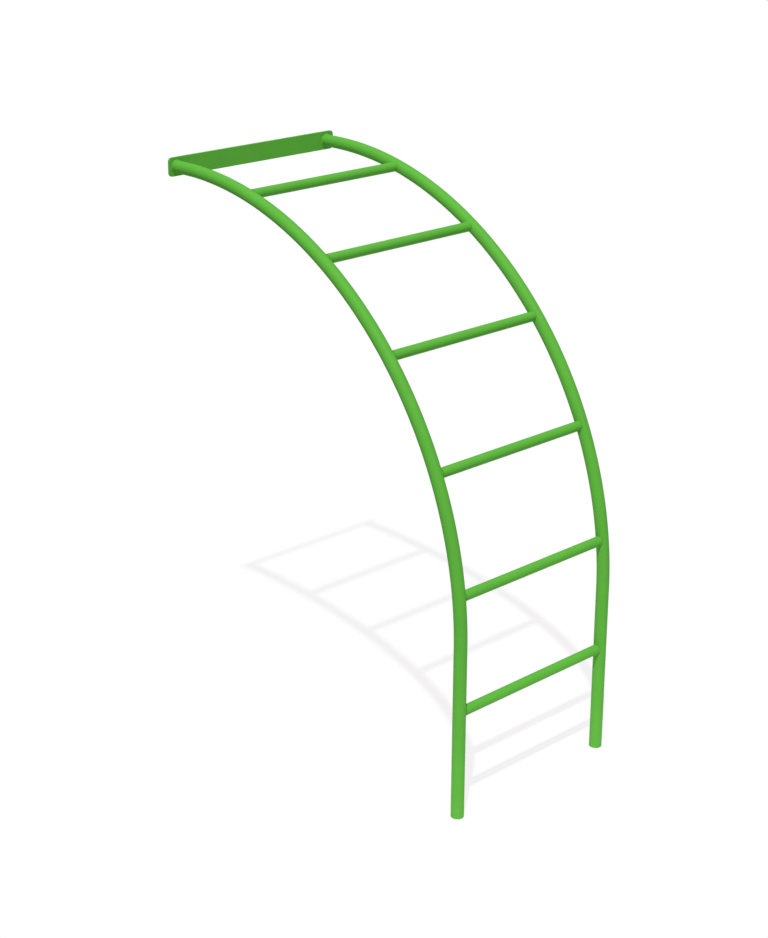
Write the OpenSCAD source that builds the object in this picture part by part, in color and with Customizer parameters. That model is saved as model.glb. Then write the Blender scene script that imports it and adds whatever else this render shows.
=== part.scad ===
// Monkey bars: an arched ladder of steel tube that bolts to the edge of a raised deck.
//
// Frame: +X runs out from the deck, +Y along the rungs, +Z up. The origin is at the centre of
// the two deck bolts, on the back face of the deck plate. The feet stand at the lowest Z.
// Left is the -Y side, right is the +Y side. Rung 1 is the highest, rung 6 the lowest.

/* [Rails] */
// Outer diameter of the two bent side rails
rail_d = 33.4; // [30:0.1:42]
// Wall thickness of the side rails
rail_wall = 3; // [2:0.5:4]
// Distance between the centre lines of the two rails
rail_spacing = 525; // [400:5:700]
// Level stretch of rail between the deck plate and the bend
lead_in = 52; // [50:1:120]
// Radius of the bend, measured to the rail's centre line
bend_r = 1012.5; // [900:2.5:1200]
// Straight leg between the bend and the ground
leg_h = 462.8; // [400:0.1:700]

/* [Rungs] */
// Outer diameter of the rungs
rung_d = 26.1; // [20:0.1:27]
// Wall thickness of the rungs
rung_wall = 2.4; // [2:0.2:3]
// Distance from a rail's centre line to the square end of a rung, less than the rail's radius
rung_cut = 15.2; // [14:0.1:16]
// Distance along the rail from the deck plate to rung 1
first_rung = 292.5; // [250:0.5:320]
// Distance along the rail from one rung to the next
rung_pitch = 304.8; // [290:0.1:320]

/* [Deck plate] */
// How far the plate reaches past the outside of each rail
plate_overhang = 8.5; // [6:0.5:40]
// Height of the plate
plate_h = 50.8; // [46:0.1:80]
// Thickness of the plate
plate_t = 6; // [4:1:10]
// Radius of the plate's four corners
plate_corner_r = 11; // [4:1:18]

/* [Fixings] */
// Pitch diameter of the M12 thread tapped through plate and insert, drawn as a plain hole
thread_d = 11; // [9:0.5:13]
// Length of the threaded insert in the top of each rail
insert_l = 40; // [20:1:45]
// Thickness of the disc that closes the foot of each rail
foot_disc_t = 4; // [3:1:8]

/* [Welds] */
// Leg of the fillet welds at the plate
weld_leg = 2; // [1.5:0.5:3]
// How far the welds at the rungs lie below the rung's surface
weld_recess = 1.4; // [0.8:0.1:1.6]

/* [Hidden] */
$fn = 96;
left = -1;
right = 1;
rail_r = rail_d / 2;
rail_bore_r = rail_r - rail_wall;
rung_r = rung_d / 2;
arc_l = bend_r * PI / 2;
bend_x = plate_t + lead_in;
plate_w = rail_spacing + rail_d + 2 * plate_overhang;
coat_green = [0.36, 0.67, 0.24];
zinc = [0.72, 0.74, 0.76];

// How far round the bend a place on the rail's centre line is, in degrees. The distance s is
// measured along the rail from the deck plate.
function bend_angle(s) = min(max(s - lead_in, 0), arc_l) / arc_l * 90;

// The place on the rail's centre line at the distance s, in the XZ plane.
function rail_x(s) = plate_t + min(s, lead_in) + bend_r * sin(bend_angle(s));
function rail_z(s) = -bend_r * (1 - cos(bend_angle(s))) - max(s - lead_in - arc_l, 0);

// Distance along the rail to a rung.
function rung_s(number) = first_rung + (number - 1) * rung_pitch;

// A ring between two radii; with no inner radius it is a disc.
module ring(outer_r, inner_r = 0) {
    difference() {
        circle(outer_r);
        if (inner_r > 0)
            circle(inner_r);
    }
}

// The rail's path, lead-in, quarter bend and leg, with a round section.
module rail_run(side, outer_r, inner_r = 0) {
    translate([0, side * rail_spacing / 2, 0]) {
        translate([plate_t, 0, 0])
            rotate([0, 90, 0])
                linear_extrude(lead_in)
                    ring(outer_r, inner_r);
        translate([bend_x, 0, -bend_r])
            rotate([90, 0, 0])
                rotate_extrude(angle = 90, $fn = 360)
                    translate([bend_r, 0])
                        ring(outer_r, inner_r, $fn = 96);
        // The quarter turn keeps the leg's shape and puts the seam of its surface to the side.
        translate([bend_x + bend_r, 0, -bend_r - leg_h])
            rotate([0, 0, 90])
                linear_extrude(leg_h)
                    ring(outer_r, inner_r);
    }
}

module rail(side) {
    color(coat_green)
        rail_run(side, rail_r, rail_bore_r);
}

// A straight run along Y at a rung's place, between the rails' centre lines or, with a cut, as
// much shorter at each end.
module rung_run(number, outer_r, inner_r, cut = 0) {
    translate([rail_x(rung_s(number)), rail_spacing / 2 - cut, rail_z(rung_s(number))])
        rotate([90, 0, 0])
            linear_extrude(rail_spacing - 2 * cut)
                ring(outer_r, inner_r);
}

// A rung is a tube cut square at both ends. A shallow notch in each end fits against the rail,
// and a groove stays open on the rail's outer and inner side.
module rung(number) {
    color(coat_green)
        difference() {
            rung_run(number, rung_r, rung_r - rung_wall, rung_cut);
            rail_run(left, rail_r);
            rail_run(right, rail_r);
        }
}

// The welds that close the grooves at both ends of a rung, set a little below its surface.
module rung_welds(number) {
    bore_r = rung_r - rung_wall;
    color(coat_green)
        difference() {
            rung_run(number, rung_r - weld_recess, bore_r);
            rail_run(left, rail_r);
            rail_run(right, rail_r);
            rung_run(number, rung_r, 0, rung_cut);
        }
}

// The deck plate has one tapped hole behind each rail's end.
module deck_plate() {
    corner_y = plate_w / 2 - plate_corner_r;
    corner_z = plate_h / 2 - plate_corner_r;
    color(coat_green)
        difference() {
            union() {
                translate([0, -corner_y, -plate_h / 2])
                    cube([plate_t, 2 * corner_y, plate_h]);
                translate([0, -plate_w / 2, -corner_z])
                    cube([plate_t, plate_w, 2 * corner_z]);
                for (y = [-corner_y, corner_y], z = [-corner_z, corner_z])
                    translate([0, y, z])
                        rotate([0, 90, 0])
                            cylinder(h = plate_t, r = plate_corner_r);
            }
            for (side = [left, right])
                translate([-1, side * rail_spacing / 2, 0])
                    rotate([0, 90, 0])
                        cylinder(h = plate_t + 2, d = thread_d);
        }
}

// A plug inside the rail's lead-in, against the plate, that carries on the plate's thread.
module rail_insert(side) {
    color(zinc)
        translate([plate_t, side * rail_spacing / 2, 0])
            rotate([0, 90, 0])
                linear_extrude(insert_l)
                    ring(rail_bore_r, thread_d / 2);
}

// A disc inside the rail's lower end, flush with it.
module foot_disc(side) {
    color(coat_green)
        translate([bend_x + bend_r, side * rail_spacing / 2, -bend_r - leg_h])
            cylinder(h = foot_disc_t, r = rail_bore_r);
}

// The fillet weld round a rail where it meets the plate.
module plate_weld(side) {
    color(coat_green)
        translate([plate_t, side * rail_spacing / 2, 0])
            rotate([0, 90, 0])
                rotate_extrude()
                    polygon([[rail_r, 0], [rail_r + weld_leg, 0], [rail_r, weld_leg]]);
}

deck_plate();
rail(left);  // left_rail
rail(right);  // right_rail
rung(1);  // rung_1
rung(2);  // rung_2
rung(3);  // rung_3
rung(4);  // rung_4
rung(5);  // rung_5
rung(6);  // rung_6
rail_insert(left);  // left_rail_insert
rail_insert(right);  // right_rail_insert
foot_disc(left);  // left_foot_disc
foot_disc(right);  // right_foot_disc
plate_weld(left);  // left_plate_weld
plate_weld(right);  // right_plate_weld
rung_welds(1);  // rung_1_welds
rung_welds(2);  // rung_2_welds
rung_welds(3);  // rung_3_welds
rung_welds(4);  // rung_4_welds
rung_welds(5);  // rung_5_welds
rung_welds(6);  // rung_6_welds
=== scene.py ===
"""Looks of the monkey bars: an arched ladder of powder-coated steel tube with a deck plate.

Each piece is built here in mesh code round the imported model, in metres. Smooth swept tubes, rungs
cut to the rails, rippled weld beads and a plate with rounded edges stand for the plain CAD nodes.
"""

import math

import bmesh
import bpy
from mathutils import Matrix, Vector


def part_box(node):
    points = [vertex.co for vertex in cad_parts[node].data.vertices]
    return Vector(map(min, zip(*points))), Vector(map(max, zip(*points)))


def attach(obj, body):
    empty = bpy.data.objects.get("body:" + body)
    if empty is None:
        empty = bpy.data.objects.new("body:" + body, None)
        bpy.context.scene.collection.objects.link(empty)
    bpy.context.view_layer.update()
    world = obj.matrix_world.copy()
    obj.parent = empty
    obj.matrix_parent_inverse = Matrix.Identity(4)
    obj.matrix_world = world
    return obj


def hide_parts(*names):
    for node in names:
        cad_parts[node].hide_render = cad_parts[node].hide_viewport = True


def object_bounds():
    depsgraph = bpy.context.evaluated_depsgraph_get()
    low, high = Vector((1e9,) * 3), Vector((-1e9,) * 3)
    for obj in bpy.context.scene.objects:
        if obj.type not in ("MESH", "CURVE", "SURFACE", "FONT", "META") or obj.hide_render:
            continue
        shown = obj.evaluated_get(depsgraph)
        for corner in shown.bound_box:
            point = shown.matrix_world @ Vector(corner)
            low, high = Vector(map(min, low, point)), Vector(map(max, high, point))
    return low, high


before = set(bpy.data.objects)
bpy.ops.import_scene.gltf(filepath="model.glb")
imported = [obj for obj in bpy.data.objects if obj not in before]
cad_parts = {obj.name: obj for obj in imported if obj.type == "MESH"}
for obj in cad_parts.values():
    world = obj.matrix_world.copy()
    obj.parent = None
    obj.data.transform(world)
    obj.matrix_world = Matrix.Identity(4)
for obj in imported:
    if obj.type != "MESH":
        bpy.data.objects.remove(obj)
cad_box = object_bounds()

MM = 0.001
X, Y, Z = Vector((1, 0, 0)), Vector((0, 1, 0)), Vector((0, 0, 1))
LEFT, RIGHT = "left", "right"
RUNGS = range(1, 7)

# ---------------------------------------------------------------- sizes, read off the frame
plate_low, plate_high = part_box("deck_plate")
insert_low, insert_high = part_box("left_rail_insert")
disc_low, disc_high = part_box("left_foot_disc")
rail_low, rail_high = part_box("left_rail")
_, rung_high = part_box("rung_1")

PLATE_T = plate_high.x
RAIL_Y = abs(rail_low.y + rail_high.y) / 2
RAIL_R = (rail_high.y - rail_low.y) / 2
RAIL_BORE_R = (insert_high.z - insert_low.z) / 2
LEG_X = (disc_low.x + disc_high.x) / 2
GROUND = disc_low.z
INSERT_END = insert_high.x
DISC_T = disc_high.z - disc_low.z
RUNG_CUT = RAIL_Y - rung_high.y

# What a box can't tell: these repeat the CAD model's values.
LEAD_IN = 52 * MM
RUNG_WALL = 2.4 * MM
WELD_LEG = 2 * MM
WELD_RECESS = 1.4 * MM
PLATE_CORNER_R = 11 * MM

# Distance from one ripple of a weld bead to the next.
RIPPLE_PITCH = 1.9 * MM

BEND_R = LEG_X - PLATE_T - LEAD_IN
BEND_X = PLATE_T + LEAD_IN
BEND_L = BEND_R * math.pi / 2
RAIL_L = LEAD_IN + BEND_L + (-BEND_R - GROUND)


# ---------------------------------------------------------------- the camera
def make_camera():
    """The camera looks down at a point a little off the middle of the ladder, from about 2.5 m
    above the ground."""
    azimuth, elevation = math.radians(47.28), math.radians(19.608)
    distance = 4.9718
    aim_right, aim_up = -0.0785, 0.0819
    focal_length, sensor = 72.217, 36.0
    shift_right, shift_up = 0.0259, -0.0485
    far_limit = 200
    back = Vector((
        math.sin(azimuth) * math.cos(elevation),
        -math.cos(azimuth) * math.cos(elevation),
        math.sin(elevation),
    ))
    right = Vector((math.cos(azimuth), math.sin(azimuth), 0))
    up = back.cross(right)
    low, high = cad_box
    data = bpy.data.cameras.new("camera")
    data.lens = focal_length
    data.sensor_width = sensor
    data.shift_x = shift_right
    data.shift_y = shift_up
    data.clip_end = far_limit
    camera = bpy.data.objects.new("camera", data)
    camera.location = (low + high) / 2 + right * aim_right + up * aim_up + back * distance
    camera.rotation_mode = "QUATERNION"
    camera.rotation_quaternion = (-back).to_track_quat("-Z", "Y")
    bpy.context.scene.collection.objects.link(camera)
    bpy.context.scene.camera = camera


# ---------------------------------------------------------------- mesh building
def circle(centre, across, along, radius, segments):
    """Points round a circle in the plane of two unit vectors."""
    turn = 2 * math.pi / segments
    return [
        centre + radius * (math.cos(i * turn) * across + math.sin(i * turn) * along)
        for i in range(segments)
    ]


def loft(mesh, rings, wear=None, closed=True):
    """Bridges each ring of points to the next, and the last to the first when closed. Wear, from
    0 to 1 for each ring, tells the paint how much it has been rubbed there."""
    worn = mesh.verts.layers.float.get("wear") or mesh.verts.layers.float.new("wear")
    wear = wear or [0.0] * len(rings)
    rows = [[mesh.verts.new(p) for p in ring] for ring in rings]
    for row, amount in zip(rows, wear):
        for vert in row:
            vert[worn] = amount
    pairs = list(zip(rows, rows[1:] + rows[:1])) if closed else list(zip(rows, rows[1:]))
    for row, after in pairs:
        for i in range(len(row)):
            j = (i + 1) % len(row)
            mesh.faces.new((row[i], row[j], after[j], after[i]))
    return rows


def finish_piece(mesh, name, material, node):
    """Turns a bmesh into a piece that rides on the root and stands for a CAD node."""
    bmesh.ops.recalc_face_normals(mesh, faces=mesh.faces)
    data = bpy.data.meshes.new(name)
    mesh.to_mesh(data)
    mesh.free()
    piece = bpy.data.objects.new(name, data)
    bpy.context.scene.collection.objects.link(piece)
    data.materials.append(material)
    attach(piece, "root")
    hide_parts(node)
    return piece


def shade(piece, sharp_angle):
    """Smooth shading that keeps edges sharper than an angle."""
    piece.data.shade_smooth()
    piece.data.set_sharp_from_angle(angle=math.radians(sharp_angle))


# ---------------------------------------------------------------- the rail's path
def on_rail(s):
    """The place, the direction and the outward normal of the rail's centre line, at a distance
    from the deck plate, in the plane y = 0."""
    angle = min(max(s - LEAD_IN, 0), BEND_L) / BEND_R
    past_bend = max(s - LEAD_IN - BEND_L, 0)
    place = Vector((
        PLATE_T + min(s, LEAD_IN) + BEND_R * math.sin(angle),
        0,
        -BEND_R * (1 - math.cos(angle)) - past_bend,
    ))
    direction = Vector((math.cos(angle), 0, -math.sin(angle)))
    normal = Vector((math.sin(angle), 0, math.cos(angle)))
    return place, direction, normal


def side_y(side):
    """The step from the middle of the ladder to one side's rail."""
    return Vector((0, -RAIL_Y if side == LEFT else RAIL_Y, 0))


def spread(first, last, step):
    """Evenly spaced values from first to last, no more than a step apart."""
    count = max(1, math.ceil(abs(last - first) / step))
    return [first + (last - first) * i / count for i in range(count + 1)]


def rail_tube(side, material):
    """A tube swept along the rail's path, with a softened rim at the foot."""
    segments, step, rim = 72, 14 * MM, 0.6 * MM
    outside = [(s, RAIL_R, 0) for s in spread(0, RAIL_L - 3 * rim, step)]
    foot = [
        (RAIL_L - rim, RAIL_R, 0.3),
        (RAIL_L - 0.3 * rim, RAIL_R - 0.3 * rim, 1),
        (RAIL_L, RAIL_R - rim, 0.6),
        (RAIL_L, RAIL_BORE_R, 0),
    ]
    inside = [(s, RAIL_BORE_R, 0) for s in spread(RAIL_L - 2 * rim, 0, 2 * step)]
    profile = outside + foot + inside
    rings = []
    for s, radius, _ in profile:
        place, _, normal = on_rail(s)
        rings.append(circle(place + side_y(side), normal, Y, radius, segments))
    mesh = bmesh.new()
    loft(mesh, rings, [w for _, _, w in profile])
    piece = finish_piece(mesh, f"{side}_rail_tube", material, f"{side}_rail")
    shade(piece, 50)


def foot_disc(side, material):
    """A disc set in the rail's end, with the small weld that seals it to the bore."""
    segments = 72
    seat, weld_width, weld_height = 1.2 * MM, 1.6 * MM, 0.96 * MM
    weld_turns = (0, 0.35, 0.7, 1.05, math.pi / 2)
    profile = [(GROUND + DISC_T, RAIL_BORE_R)]
    profile += [
        (GROUND + seat - weld_height * math.cos(t), RAIL_BORE_R - weld_width * math.sin(t))
        for t in weld_turns
    ]
    centre = LEG_X * X + side_y(side)
    rings = [circle(centre + z * Z, X, Y, r, segments) for z, r in profile]
    mesh = bmesh.new()
    rows = loft(mesh, rings, closed=False)
    mesh.faces.new(rows[0])
    mesh.faces.new(rows[-1])
    piece = finish_piece(
        mesh, f"{side}_foot_end_disc", material, f"{side}_foot_disc"
    )
    shade(piece, 50)


# ---------------------------------------------------------------- rungs and their welds
def rung_place(number):
    """A rung's centre, radius and the rail's direction and normal there."""
    low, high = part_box(f"rung_{number}")
    centre = Vector(((low.x + high.x) / 2, 0, (low.z + high.z) / 2))
    radius = (high.z - low.z) / 2
    bend_centre = Vector((BEND_X, 0, -BEND_R))
    angle = math.atan2(centre.x - bend_centre.x, centre.z - bend_centre.z)
    angle = min(angle, math.pi / 2)
    direction = Vector((math.cos(angle), 0, -math.sin(angle)))
    normal = Vector((math.sin(angle), 0, math.cos(angle)))
    return centre, radius, direction, normal


def cope_depth(radius, phi):
    """How far from the rail's centre line a tube along the rungs would meet the rail, at an angle
    round the tube."""
    return math.sqrt(RAIL_R**2 - (radius * math.sin(phi)) ** 2)


def rung_tube(number, material):
    """A straight tube. Each end is cut square, with a shallow notch where it sits on the rail."""
    segments, step, sink = 64, 30 * MM, 0.15 * MM
    centre, radius, direction, normal = rung_place(number)
    bore = radius - RUNG_WALL

    def ring(share, r):
        points = []
        for i in range(segments):
            phi = 2 * math.pi * i / segments
            end = max(cope_depth(r, phi) - sink, RUNG_CUT)
            around = math.cos(phi) * direction + math.sin(phi) * normal
            points.append(centre + r * around + share * (RAIL_Y - end) * Y)
        return points

    shares = spread(-1, 1, step / RAIL_Y)
    bore_shares = shares[::4]
    rings = [ring(share, radius) for share in shares]
    rings += [ring(share, bore) for share in reversed(bore_shares)]
    mesh = bmesh.new()
    loft(mesh, rings)
    piece = finish_piece(
        mesh, f"rung_{number}_tube", material, f"rung_{number}"
    )
    shade(piece, 50)


def rung_weld_beads(number, material):
    """The welds at both ends of a rung. Its square end leaves a groove on the rail's outer and
    inner side, and a rippled weld closes each groove, a little below the rung's surface."""
    step, sink, root_lift = 0.4 * MM, 0.15 * MM, 0.1 * MM
    crown_low, crown_high = 0.25 * MM, 0.5 * MM
    shares = (0, 0.2, 0.4, 0.6, 0.8, 1)
    centre, radius, direction, normal = rung_place(number)
    tip = math.asin(math.sqrt(RAIL_R**2 - RUNG_CUT**2) / radius)
    root_r = radius - RUNG_WALL + root_lift
    face_r = radius - WELD_RECESS - crown_high

    def across(base, inward, facing, r, share, phi):
        """A place between the rail, share 0, and the rung's end, share 1."""
        rail_y = min(cope_depth(r, phi), RUNG_CUT) - sink
        y = rail_y + (RUNG_CUT + sink - rail_y) * share
        around = math.cos(phi) * direction + math.sin(phi) * facing
        return base + r * around + y * inward

    mesh = bmesh.new()
    for side in (LEFT, RIGHT):
        for facing in (normal, -normal):
            joint = (centre + side_y(side), Y if side == LEFT else -Y, facing)
            sections = []
            for phi in spread(tip, math.pi - tip, step / radius):
                ripple = abs(math.sin(math.pi * radius * phi / RIPPLE_PITCH + number))
                crown = crown_low + (crown_high - crown_low) * ripple
                section = [
                    across(*joint, face_r + crown * 4 * share * (1 - share), share, phi)
                    for share in shares
                ]
                section += [across(*joint, root_r, 1, phi), across(*joint, root_r, 0, phi)]
                sections.append(section)
            rows = loft(mesh, sections, closed=False)
            mesh.faces.new(rows[0])
            mesh.faces.new(rows[-1])
    piece = finish_piece(
        mesh, f"rung_{number}_weld_beads", material, f"rung_{number}_welds"
    )
    shade(piece, 70)


# ---------------------------------------------------------------- the welds at the plate
def fillet_bead(mesh, joint, length, phase):
    """A fillet weld along a closed joint. joint(phi) gives the root, the toe on the tube and the
    toe on what the tube is welded to. The face bulges a little, and more at each ripple."""
    steps_per_ripple, sink = 5, 0.2 * MM
    slow_drift, quick_drift = 0.05, 0.03
    bulge, ripple_bulge = 0.06 * WELD_LEG, 0.14 * WELD_LEG
    ripples = round(length / RIPPLE_PITCH)
    segments = ripples * steps_per_ripple
    face_steps = 6
    rings = [[] for _ in range(face_steps + 2)]
    for i in range(segments):
        phi = 2 * math.pi * i / segments
        root, toe_tube, toe_other = joint(phi)
        drift = 1 + slow_drift * math.sin(3 * phi + phase)
        drift += quick_drift * math.sin(7 * phi + 2 * phase)
        toe_tube = root + (toe_tube - root) * drift
        toe_other = root + (toe_other - root) * drift
        middle = (toe_tube + toe_other) / 2
        outward = (middle - root).normalized()
        ripple = abs(math.sin(ripples * phi / 2 + phase))
        crown = middle + outward * (bulge + ripple_bulge * ripple)
        for k in range(face_steps + 1):
            t = k / face_steps
            point = toe_tube * (1 - t) ** 2 + 2 * crown * t * (1 - t) + toe_other * t**2
            if k in (0, face_steps):
                point = point + (root - crown).normalized() * sink
            rings[k].append(point)
        rings[-1].append(root - outward * sink)
    loft(mesh, rings, [0, 0.1, 0.4, 0.6, 0.4, 0.1, 0, 0])


def plate_weld_bead(side, material):
    """The fillet weld round a rail at the deck plate."""
    base = Vector((PLATE_T, 0, 0)) + side_y(side)
    phase = 1.3 if side == LEFT else 4.1

    def joint(phi):
        around = math.cos(phi) * Y + math.sin(phi) * Z
        root = base + RAIL_R * around
        return root, root + WELD_LEG * X, root + WELD_LEG * around

    mesh = bmesh.new()
    fillet_bead(mesh, joint, 2 * math.pi * RAIL_R, phase)
    piece = finish_piece(
        mesh, f"{side}_plate_weld_bead", material, f"{side}_plate_weld"
    )
    shade(piece, 70)


# ---------------------------------------------------------------- the deck plate and its threads
THREAD_MAJOR_R = 6.0 * MM
THREAD_MINOR_R = 5.05 * MM
THREAD_PITCH = 1.75 * MM


def plate_outline(x, inset):
    """The plate's rounded outline at a place through its thickness, set in by a distance."""
    corner_steps = 16
    half_y = plate_high.y - PLATE_CORNER_R
    half_z = plate_high.z - PLATE_CORNER_R
    radius = PLATE_CORNER_R - inset
    points = []
    for quarter, (sy, sz) in enumerate([(1, 1), (-1, 1), (-1, -1), (1, -1)]):
        for i in range(corner_steps + 1):
            angle = (quarter + i / corner_steps) * math.pi / 2
            points.append(Vector((
                x,
                sy * half_y + radius * math.cos(angle),
                sz * half_z + radius * math.sin(angle),
            )))
    return points


def deck_plate(material):
    """A flat bar with rounded corners, edges softened all round and two chamfered bolt holes."""
    edge, round_steps, hole_segments = 0.9 * MM, 5, 48
    hole_r, chamfer = THREAD_MAJOR_R + 0.2 * MM, 0.9 * MM
    face_inset = 3 * edge
    quarter = [i / round_steps * math.pi / 2 for i in range(round_steps + 1)]
    profile = [(0, face_inset, 0)]
    profile += [(edge * (1 - math.sin(a)), edge * (1 - math.cos(a)), math.sin(2 * a))
                for a in reversed(quarter)]
    profile += [(PLATE_T - edge * (1 - math.sin(a)), edge * (1 - math.cos(a)), math.sin(2 * a))
                for a in quarter]
    profile += [(PLATE_T, face_inset, 0)]
    mesh = bmesh.new()
    rows = loft(
        mesh,
        [plate_outline(x, inset) for x, inset, _ in profile],
        [w for _, _, w in profile],
        closed=False,
    )
    back, front = [rows[0]], [rows[-1]]
    for side in (LEFT, RIGHT):
        stations = [(0, hole_r + chamfer), (chamfer, hole_r), (PLATE_T - chamfer, hole_r)]
        stations += [(PLATE_T, hole_r)]
        rings = [circle(x * X + side_y(side), Y, Z, r, hole_segments) for x, r in stations]
        hole_rows = loft(mesh, rings, closed=False)
        back.append(hole_rows[0])
        front.append(hole_rows[-1])
    for rims in (back, front):
        edges = []
        for row in rims:
            for i in range(len(row)):
                edges.append(mesh.edges.get((row[i], row[(i + 1) % len(row)])))
        bmesh.ops.triangle_fill(mesh, use_beauty=True, use_dissolve=False, edges=edges)
    piece = finish_piece(mesh, "deck_plate_bar", material, "deck_plate")
    shade(piece, 30)


def thread_insert(side, material):
    """The plug in the rail's end with its thread, which starts inside the plate."""
    segments, steps_per_turn = 48, 8
    start, end_chamfer = 0.9 * MM, 1 * MM
    sleeve_r = THREAD_MAJOR_R + 0.35 * MM
    outside = [
        (INSERT_END, RAIL_BORE_R - end_chamfer), (INSERT_END - end_chamfer, RAIL_BORE_R),
        (PLATE_T, RAIL_BORE_R), (PLATE_T, sleeve_r), (start, sleeve_r),
    ]

    def thread_ring(x):
        points = []
        for i in range(segments):
            turn = i / segments
            height = 1 - abs(2 * ((x / THREAD_PITCH - turn) % 1) - 1)
            radius = THREAD_MINOR_R + (THREAD_MAJOR_R - THREAD_MINOR_R) * height
            around = math.cos(2 * math.pi * turn) * Y + math.sin(2 * math.pi * turn) * Z
            points.append(x * X + side_y(side) + radius * around)
        return points

    rings = [thread_ring(x) for x in spread(start, INSERT_END, THREAD_PITCH / steps_per_turn)]
    rings += [circle(x * X + side_y(side), Y, Z, r, segments) for x, r in outside]
    mesh = bmesh.new()
    loft(mesh, rings)
    piece = finish_piece(
        mesh, f"{side}_thread_insert", material, f"{side}_rail_insert"
    )
    shade(piece, 35)


# ---------------------------------------------------------------- materials
class Nodes:
    """Short calls to build a node tree."""

    def __init__(self, material):
        material.use_nodes = True
        self.tree = material.node_tree
        self.tree.nodes.clear()

    def add(self, kind, inputs=None, **settings):
        node = self.tree.nodes.new(kind)
        for key, value in settings.items():
            setattr(node, key, value)
        for key, value in (inputs or {}).items():
            if isinstance(value, bpy.types.NodeSocket):
                self.tree.links.new(value, node.inputs[key])
            else:
                node.inputs[key].default_value = value
        return node

    def math(self, operation, a, b=0.0, clamp=False):
        node = self.add("ShaderNodeMath", {0: a, 1: b}, operation=operation, use_clamp=clamp)
        return node.outputs[0]

    def noise(self, vector, scale, detail, roughness=0.5):
        node = self.add(
            "ShaderNodeTexNoise",
            {"Vector": vector, "Scale": scale, "Detail": detail, "Roughness": roughness},
        )
        return node.outputs["Fac"]

    def remap(self, value, low, high, to_low=0.0, to_high=1.0):
        node = self.add(
            "ShaderNodeMapRange",
            {"Value": value, "From Min": low, "From Max": high, "To Min": to_low, "To Max": to_high},
            interpolation_type="SMOOTHSTEP",
        )
        return node.outputs["Result"]

    def mix(self, factor, a, b):
        node = self.add("ShaderNodeMix", data_type="RGBA")
        for socket, value in ((node.inputs[0], factor), (node.inputs[6], a), (node.inputs[7], b)):
            if isinstance(value, bpy.types.NodeSocket):
                self.tree.links.new(value, socket)
            else:
                socket.default_value = value
        return node.outputs[2]


def powder_coat():
    """Satin green powder coat: orange peel and fine speckle, uneven gloss, hairline scuffs where
    hands and feet go, thin coat on edges, and a trace of dust above the ground."""
    deep, fresh = (0.090, 0.366, 0.0375, 1), (0.099, 0.396, 0.0415, 1)
    faded, dust = (0.160, 0.440, 0.100, 1), (0.330, 0.300, 0.230, 1)
    base_roughness, roughness_grain, gloss = 0.6, 0.07, 0.10
    grip_inner, grip_outer = 60 * MM, 230 * MM
    dusty_below, clean_above = GROUND + 5 * MM, GROUND + 110 * MM
    peel_height = 0.10 * MM
    scuff_strength, thin_strength, dust_strength = 0.4, 0.5, 0.14

    # Noise scales, in waves to the metre.
    mottle_scale, speckle_scale, peel_scale = 11, 900, 330
    hairline_scale, rub_scale, thin_scale, splash_scale = 60, 17, 160, 70

    material = bpy.data.materials.new("green_powder_coat")
    n = Nodes(material)
    place = n.add("ShaderNodeTexCoord").outputs["Object"]
    xyz = n.add("ShaderNodeSeparateXYZ", {0: place})
    wear = n.add("ShaderNodeAttribute", attribute_name="wear").outputs["Fac"]

    # The tone drifts over a hand's width and varies from one millimetre to the next.
    mottle = n.noise(place, mottle_scale, 3)
    speckle = n.noise(place, speckle_scale, 1)
    tone = n.math("ADD", n.math("MULTIPLY", mottle, 0.4), n.math("MULTIPLY", speckle, 0.6))
    colour = n.mix(n.remap(tone, 0.38, 0.62), deep, fresh)

    # Hands and feet rub the middle of each rung: glossier there, with hairline scuffs along it.
    from_middle = n.math("ABSOLUTE", xyz.outputs["Y"])
    grip = n.remap(from_middle, grip_inner, grip_outer, 1, 0)
    lengthwise = n.add("ShaderNodeMapping", {"Vector": place, "Scale": (1, 0.25, 1)}).outputs[0]
    hairline = n.math("ABSOLUTE", n.math("SUBTRACT", n.noise(lengthwise, hairline_scale, 1), 0.5))
    rubbed = n.math("MULTIPLY", grip, n.remap(n.noise(place, rub_scale, 1), 0.48, 0.6))
    scuff = n.math("MULTIPLY", n.remap(hairline, 0.001, 0.005, 1, 0), rubbed)
    colour = n.mix(n.math("MULTIPLY", scuff, scuff_strength), colour, faded)

    # The coat is thin where the mesh says that an edge or a bead's crown is worn.
    thin = n.math("MULTIPLY", wear, n.remap(n.noise(place, thin_scale, 3, 0.6), 0.48, 0.66))
    colour = n.mix(n.math("MULTIPLY", thin, thin_strength), colour, faded)

    # Rain splashes a little dust up the legs.
    low_down = n.remap(xyz.outputs["Z"], dusty_below, clean_above, 1, 0)
    splash = n.math("MULTIPLY", low_down, n.remap(n.noise(place, splash_scale, 4, 0.65), 0.45, 0.75))
    colour = n.mix(n.math("MULTIPLY", splash, dust_strength), colour, dust)

    roughness = n.math("ADD", n.math("MULTIPLY", speckle, roughness_grain), base_roughness)
    roughness = n.math("SUBTRACT", roughness, n.math("MULTIPLY", grip, 0.05))
    roughness = n.math("ADD", roughness, n.math("MULTIPLY", scuff, 0.12))
    roughness = n.math("ADD", roughness, n.math("MULTIPLY", splash, 0.12), clamp=True)

    peel = n.noise(place, peel_scale, 2, 0.45)
    height = n.math("ADD", peel, n.math("MULTIPLY", speckle, 0.15))
    height = n.math("SUBTRACT", height, n.math("MULTIPLY", scuff, 0.3))
    bump = n.add("ShaderNodeBump", {"Strength": 1.0, "Distance": peel_height, "Height": height})

    shader = n.add("ShaderNodeBsdfPrincipled", {
        "Base Color": colour, "Roughness": roughness, "Normal": bump.outputs["Normal"],
        "IOR": 1.5, "Specular IOR Level": gloss,
    })
    n.add("ShaderNodeOutputMaterial", {"Surface": shader.outputs[0]})
    return material


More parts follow.
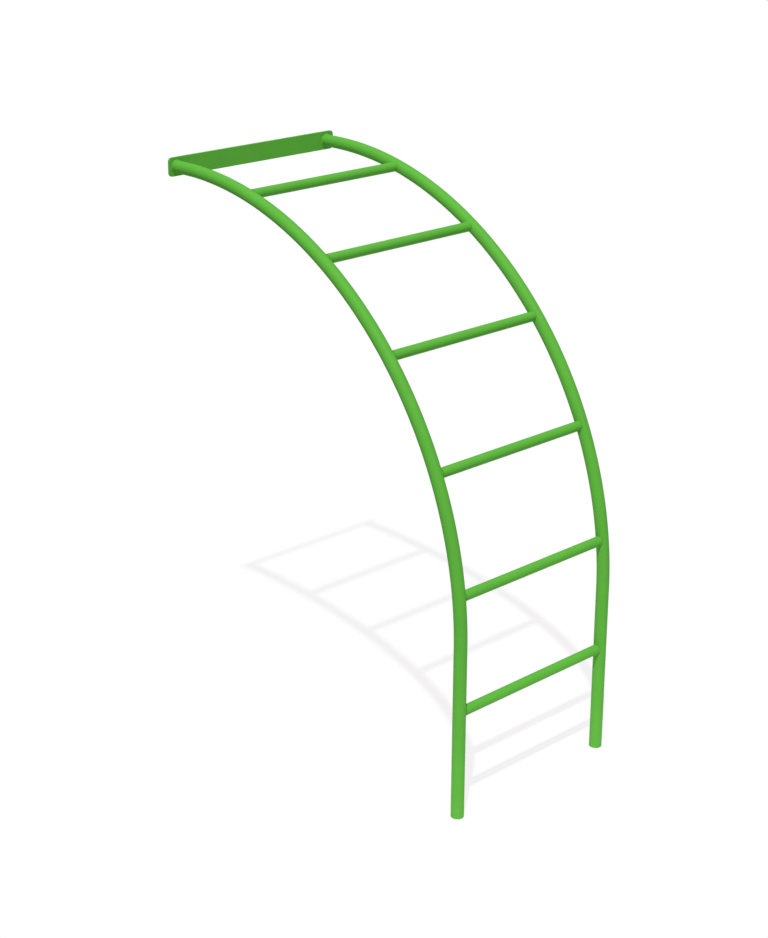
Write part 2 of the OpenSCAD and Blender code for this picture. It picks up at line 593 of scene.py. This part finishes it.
def zinc_steel():
    """Zinc-plated turned steel with fine tool marks and dull patches."""
    bright, dull = (0.60, 0.61, 0.62, 1), (0.42, 0.43, 0.42, 1)
    patch_scale, tool_mark_scales, tool_mark_depth = 260, (6000, 300, 300), 0.02 * MM
    material = bpy.data.materials.new("zinc_steel")
    n = Nodes(material)
    place = n.add("ShaderNodeTexCoord").outputs["Object"]
    patch = n.noise(place, patch_scale, 3)
    colour = n.mix(n.remap(patch, 0.35, 0.7), bright, dull)
    across_marks = n.add("ShaderNodeMapping", {"Vector": place, "Scale": tool_mark_scales})
    marks = n.noise(across_marks.outputs[0], 1, 2)
    roughness = n.remap(patch, 0.3, 0.7, 0.28, 0.5)
    bump = n.add("ShaderNodeBump", {"Strength": 0.5, "Distance": tool_mark_depth, "Height": marks})
    shader = n.add("ShaderNodeBsdfPrincipled", {
        "Base Color": colour, "Roughness": roughness, "Normal": bump.outputs["Normal"],
        "Metallic": 1.0,
    })
    n.add("ShaderNodeOutputMaterial", {"Surface": shader.outputs[0]})
    return material


# ---------------------------------------------------------------- the studio
KEY_LIGHT, DOME_LIGHT, BOUNCE_LIGHT = 3.19, 0.407, 0.877
TOWARDS_KEY = Vector((0.285, -0.363, 0.887)).normalized()


def pale_floor():
    """White in the open. Most of its light is its own, so that the shadows on it stay faint. It is
    clear from below, so that it never hides the object."""
    shade_colour = (0.112, 0.130, 0.122)
    light_falling = DOME_LIGHT + KEY_LIGHT * TOWARDS_KEY.z / math.pi
    own_colour = [1 - light_falling * c for c in shade_colour]
    material = bpy.data.materials.new("pale_floor")
    n = Nodes(material)
    matt = n.add("ShaderNodeBsdfDiffuse", {"Color": (*shade_colour, 1)})
    glow = n.add("ShaderNodeEmission", {"Color": (*own_colour, 1), "Strength": 1.0})
    both = n.add("ShaderNodeAddShader", {0: matt.outputs[0], 1: glow.outputs[0]})
    clear = n.add("ShaderNodeBsdfTransparent")
    underneath = n.add("ShaderNodeNewGeometry").outputs["Backfacing"]
    one_sided = n.add("ShaderNodeMixShader", {0: underneath, 1: both.outputs[0], 2: clear.outputs[0]})
    n.add("ShaderNodeOutputMaterial", {"Surface": one_sided.outputs[0]})
    return material


def make_floor():
    """A plain floor far wider than the object. It blocks no light and throws none back up: the
    bounce lamp does that."""
    floor_radius, segments = 60, 96
    mesh = bmesh.new()
    rim = circle(Vector((LEG_X, 0, GROUND)), X, Y, floor_radius, segments)
    mesh.faces.new([mesh.verts.new(p) for p in rim])
    data = bpy.data.meshes.new("floor")
    mesh.to_mesh(data)
    mesh.free()
    data.materials.append(pale_floor())
    floor = bpy.data.objects.new("floor", data)
    bpy.context.scene.collection.objects.link(floor)
    floor.visible_diffuse = False
    floor.visible_glossy = False
    floor.visible_shadow = False


def add_lamp(name, kind, energy):
    lamp = bpy.data.objects.new(name, bpy.data.lights.new(name, kind))
    lamp.data.energy = energy
    lamp.rotation_mode = "QUATERNION"
    bpy.context.scene.collection.objects.link(lamp)
    return lamp


def make_light():
    """An even dome that looks white but lights dimly, a key light high on the near side, and a
    round lamp at ground level that lights the legs and rungs from below as a white floor does."""
    sun_width = 1.2
    bounce_radius, bounce_height = 1.1, 0.5 * MM
    world = bpy.data.worlds.new("studio")
    bpy.context.scene.world = world
    n = Nodes(world)
    seen = n.add("ShaderNodeLightPath").outputs["Is Camera Ray"]
    strength = n.math("ADD", n.math("MULTIPLY", seen, 1 - DOME_LIGHT), DOME_LIGHT)
    background = n.add("ShaderNodeBackground", {"Color": (1, 1, 1, 1), "Strength": strength})
    n.add("ShaderNodeOutputWorld", {"Surface": background.outputs[0]})

    key = add_lamp("key", "SUN", KEY_LIGHT)
    key.data.angle = math.radians(sun_width)
    key.rotation_quaternion = TOWARDS_KEY.to_track_quat("Z", "Y")

    bounce = add_lamp("bounce", "AREA", BOUNCE_LIGHT * (math.pi * bounce_radius) ** 2)
    bounce.data.shape = "DISK"
    bounce.data.size = 2 * bounce_radius
    bounce.location = (LEG_X, 0, GROUND + bounce_height)
    bounce.rotation_quaternion = (-Z).to_track_quat("Z", "Y")
    bounce.visible_camera = False
    bpy.context.scene.view_settings.view_transform = "Standard"


make_camera()
green = powder_coat()
steel = zinc_steel()
deck_plate(green)
for side in (LEFT, RIGHT):
    rail_tube(side, green)
    foot_disc(side, green)
    plate_weld_bead(side, green)
    thread_insert(side, steel)
for number in RUNGS:
    rung_tube(number, green)
    rung_weld_beads(number, green)
make_floor()
make_light()
